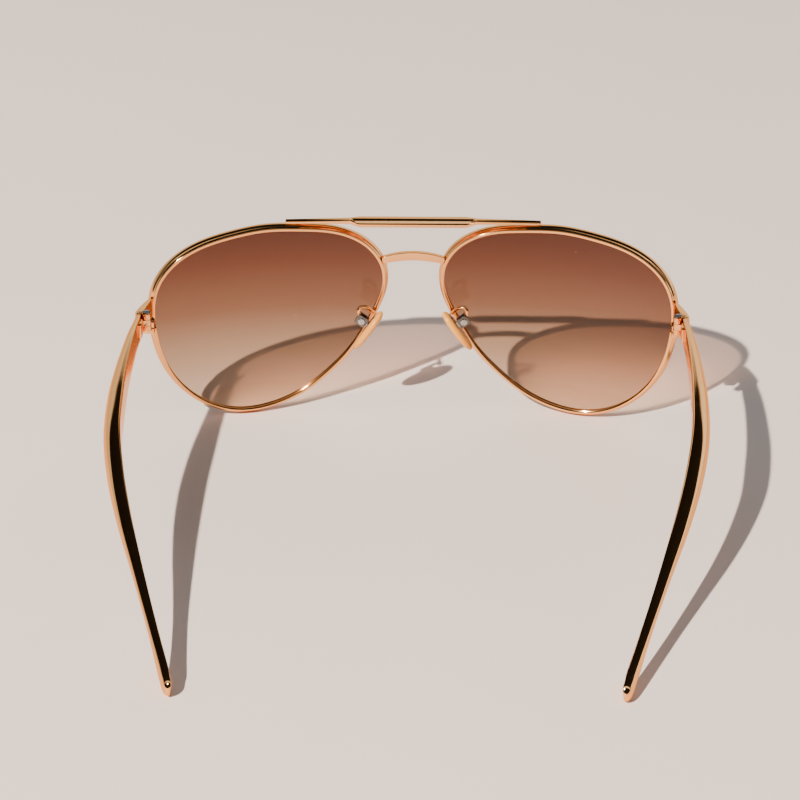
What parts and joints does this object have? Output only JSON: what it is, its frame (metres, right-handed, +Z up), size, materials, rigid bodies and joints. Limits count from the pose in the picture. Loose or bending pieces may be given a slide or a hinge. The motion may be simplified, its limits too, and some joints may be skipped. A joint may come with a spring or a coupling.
{
  "type": "aviator sunglasses",
  "caption": "Metal aviator sunglasses with gradient lenses, an arched bridge under a brow bar, rocking nose pads and folding temples.",
  "frame": {"origin": "middle of the bounding box in plan, on the surface the open glasses stand on", "axes": "+Y is the way the wearer looks, +X is the wearer's right, +Z is up; X = 0 is the plane of symmetry; the front leans 5.5 degrees forward at the top"},
  "size_m": [0.1464, 0.1404, 0.0533],
  "materials": {
    "gold_metal": "polished rose gold plating",
    "silver_metal": "bright",
    "lens_tint": "brown gradient tint, darker at the top, glossy",
    "pad_silicone": "clear amber, glossy"
  },
  "bodies": {
    "front": {"brow_bar": "gold_metal", "bridge": "gold_metal", "left_lens": "lens_tint", "left_rim": "gold_metal", "left_endpiece": "gold_metal", "left_rim_lock_upper": "gold_metal", "left_rim_lock_lower": "gold_metal", "left_rim_screw": "silver_metal", "left_front_hinge": "gold_metal", "left_hinge_screw": "silver_metal", "left_pad_arm": "gold_metal", "left_pad_box": "silver_metal", "left_pad_screw": "silver_metal", "right_lens": "lens_tint", "right_rim": "gold_metal", "right_endpiece": "gold_metal", "right_rim_lock_upper": "gold_metal", "right_rim_lock_lower": "gold_metal", "right_rim_screw": "silver_metal", "right_front_hinge": "gold_metal", "right_hinge_screw": "silver_metal", "right_pad_arm": "gold_metal", "right_pad_box": "silver_metal", "right_pad_screw": "silver_metal"},
    "left_temple": {"left_temple": "gold_metal", "left_temple_hinge": "gold_metal"},
    "left_pad": {"left_pad": "pad_silicone", "left_pad_insert": "silver_metal"},
    "right_temple": {"right_temple": "gold_metal", "right_temple_hinge": "gold_metal"},
    "right_pad": {"right_pad": "pad_silicone", "right_pad_insert": "silver_metal"}
  },
  "joints": [
    {"name": "left_temple_fold", "type": "hinge", "parent": "front", "child": "left_temple", "pos_m": [-0.06762, 0.04815, 0.03322], "axis": [0, 0, 1], "range_deg": [0, 84]},
    {"name": "right_temple_fold", "type": "hinge", "parent": "front", "child": "right_temple", "pos_m": [0.06762, 0.04815, 0.03322], "axis": [0, 0, -1], "range_deg": [0, 79]},
    {"name": "left_pad_rock", "type": "hinge", "parent": "front", "child": "left_pad", "pos_m": [-0.01315, 0.05958, 0.02832], "axis": [0.114, 0.9903, -0.0799], "range_deg": [-8, 8]},
    {"name": "right_pad_rock", "type": "hinge", "parent": "front", "child": "right_pad", "pos_m": [0.01315, 0.05958, 0.02832], "axis": [-0.114, 0.9903, -0.0799], "range_deg": [-8, 8]}
  ]
}
